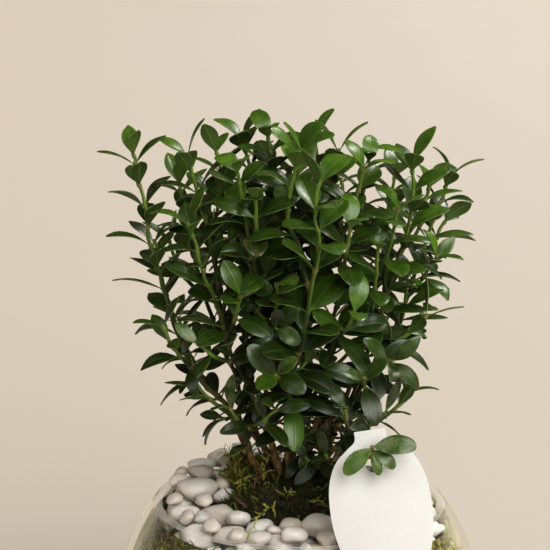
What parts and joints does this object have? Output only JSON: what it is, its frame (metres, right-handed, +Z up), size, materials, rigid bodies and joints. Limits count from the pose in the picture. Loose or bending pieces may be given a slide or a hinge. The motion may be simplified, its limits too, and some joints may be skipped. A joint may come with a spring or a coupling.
{
  "type": "potted plant",
  "caption": "Bushy boxwood growing in a clear glass bubble bowl, with pebbles, moss and a vase-shaped card tag on a low twig.",
  "frame": {"origin": "centre of the bowl's flat underside", "axes": "+Z up, +X to the right of the front view, and the front, with the tag, faces -Y"},
  "size_m": [0.2303, 0.2218, 0.4065],
  "materials": {
    "clear_glass": "clear and polished, with a ground rim",
    "pale_stone": "smooth, tumbled",
    "green_moss": "soft and matt",
    "dark_soil": "matt",
    "brown_bark": "rough bark",
    "green_leaf": "glossy upper faces, matt undersides",
    "white_card": "matt, uncoated"
  },
  "bodies": {
    "root": {"glass_bowl": "clear_glass", "pebbles": "pale_stone", "moss_bed": "green_moss", "moss_lining": "green_moss", "root_ball": "dark_soil", "woody_stems": "brown_bark", "card_tag": "white_card", "leafy_spray_left_outer": "green_leaf", "leafy_spray_left_inner": "green_leaf", "leafy_spray_centre_left": "green_leaf", "leafy_spray_top_centre": "green_leaf", "leafy_spray_front_centre": "green_leaf", "leafy_spray_right_centre": "green_leaf", "leafy_spray_right_top": "green_leaf", "leafy_spray_right_outer": "green_leaf", "leafy_spray_right_low": "green_leaf", "leafy_spray_low_right": "green_leaf", "leafy_spray_low_left": "green_leaf", "leafy_spray_back_left": "green_leaf", "leafy_spray_back_middle": "green_leaf", "leafy_spray_back_right": "green_leaf", "leafy_spray_side_left": "green_leaf", "leafy_spray_low_back": "green_leaf", "leafy_spray_tag_twig": "green_leaf"}
  },
  "joints": []
}
